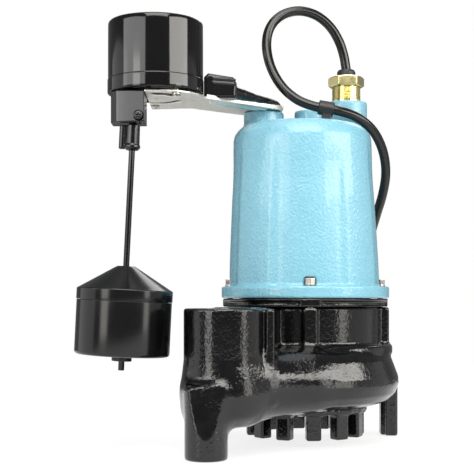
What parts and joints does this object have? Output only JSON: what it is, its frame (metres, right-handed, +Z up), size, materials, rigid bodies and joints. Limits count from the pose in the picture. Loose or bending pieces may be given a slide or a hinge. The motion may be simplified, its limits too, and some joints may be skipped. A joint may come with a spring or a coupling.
{
  "type": "submersible sump pump",
  "caption": "Submersible sump pump: fluted motor housing on a footed volute with an upright discharge, a vertical float switch on a side bracket, and a coiled power cord.",
  "frame": {"origin": "middle of the footprint of the pump with its float switch, on the floor that the feet stand on", "axes": "+Z up along the motor shaft, +X to the right seen from the discharge side, with the float switch at -X, and +Y to the back"},
  "size_m": [0.3152, 0.534, 0.4351],
  "materials": {
    "housing_paint": "light blue gloss paint on rough cast iron",
    "black_enamel": "gloss black enamel on rough cast iron",
    "black_plastic": "moulded black plastic, satin to gloss",
    "dark_plastic": "moulded dark grey plastic",
    "black_rubber": "moulded black rubber",
    "cord_jacket": "smooth black cord jacket with a soft sheen",
    "zinc_plate": "zinc-plated sheet, off-white and slightly cloudy",
    "stainless_steel": "turned and rolled stainless steel",
    "gold_zinc": "yellow passivated zinc",
    "copper_wire": "enamelled copper wire",
    "lamination_steel": "stacked electrical steel",
    "cast_aluminium": "die-cast aluminium",
    "ceramic_white": "glazed off-white",
    "dark_screw": "black oxide steel"
  },
  "bodies": {
    "pump": {"motor_housing": "housing_paint", "flange_bolt_1": "stainless_steel", "flange_bolt_2": "stainless_steel", "flange_bolt_3": "stainless_steel", "flange_bolt_4": "stainless_steel", "stator_core": "lamination_steel", "upper_winding": "copper_wire", "lower_winding": "copper_wire", "run_capacitor": "ceramic_white", "thermal_protector": "dark_plastic", "upper_bearing": "stainless_steel", "lower_bearing": "stainless_steel", "seal_plate": "black_enamel", "housing_o_ring": "black_rubber", "seal_seat": "ceramic_white", "volute_casing": "black_enamel", "suction_strainer": "black_enamel", "strainer_screw_1": "stainless_steel", "strainer_screw_2": "stainless_steel", "strainer_screw_3": "stainless_steel", "gland_body": "gold_zinc", "gland_nut": "gold_zinc", "gland_bushing": "black_rubber", "filler_plug": "stainless_steel", "switch_bracket": "zinc_plate", "bracket_bolt": "stainless_steel", "switch_screw_1": "stainless_steel", "switch_screw_2": "stainless_steel", "switch_cap": "black_plastic", "switch_base": "black_plastic", "lever_fork": "dark_plastic", "lever_pin": "stainless_steel", "snap_switch": "dark_plastic", "rod_block": "black_plastic", "block_screw": "dark_screw", "rod_guide": "black_plastic", "switch_cord_relief": "black_rubber", "cord_clip": "black_rubber", "power_cord": "cord_jacket", "power_cord_coil": "cord_jacket", "power_plug": "black_rubber", "switch_cord": "cord_jacket", "cord_junction": "black_rubber"},
    "rotor": {"motor_shaft": "stainless_steel", "rotor_core": "lamination_steel", "rotor_end_ring_upper": "cast_aluminium", "rotor_end_ring_lower": "cast_aluminium", "impeller": "dark_plastic", "impeller_nut": "stainless_steel", "seal_face": "dark_plastic", "seal_spring": "stainless_steel"},
    "rod": {"float_rod": "black_plastic", "rod_stop": "black_rubber", "rod_collar": "black_plastic"},
    "float": {"float_body": "black_plastic", "float_lid": "black_plastic"},
    "lever": {"switch_lever": "dark_plastic"}
  },
  "joints": [
    {"name": "rotor_spin", "type": "hinge", "parent": "pump", "child": "rotor", "pos_m": [0.05985, 0.03927, 0.1], "axis": [0, 0, 1], "continuous": true},
    {"name": "rod_slide", "type": "slide", "parent": "pump", "child": "rod", "axis": [0.0497, 0, 0.9988], "range_m": [0, 0.006]},
    {"name": "float_slide", "type": "slide", "parent": "rod", "child": "float", "axis": [0.0497, 0, 0.9988], "range_m": [0, 0.095]},
    {"name": "lever_tilt", "type": "hinge", "parent": "pump", "child": "lever", "pos_m": [-0.06615, -0.04873, 0.3593], "axis": [0, 1, 0], "range_deg": [0, 10.2]}
  ],
  "couplings": [
    {"joint": "lever_tilt", "follows": "rod_slide", "rad_per_m": 29}
  ]
}
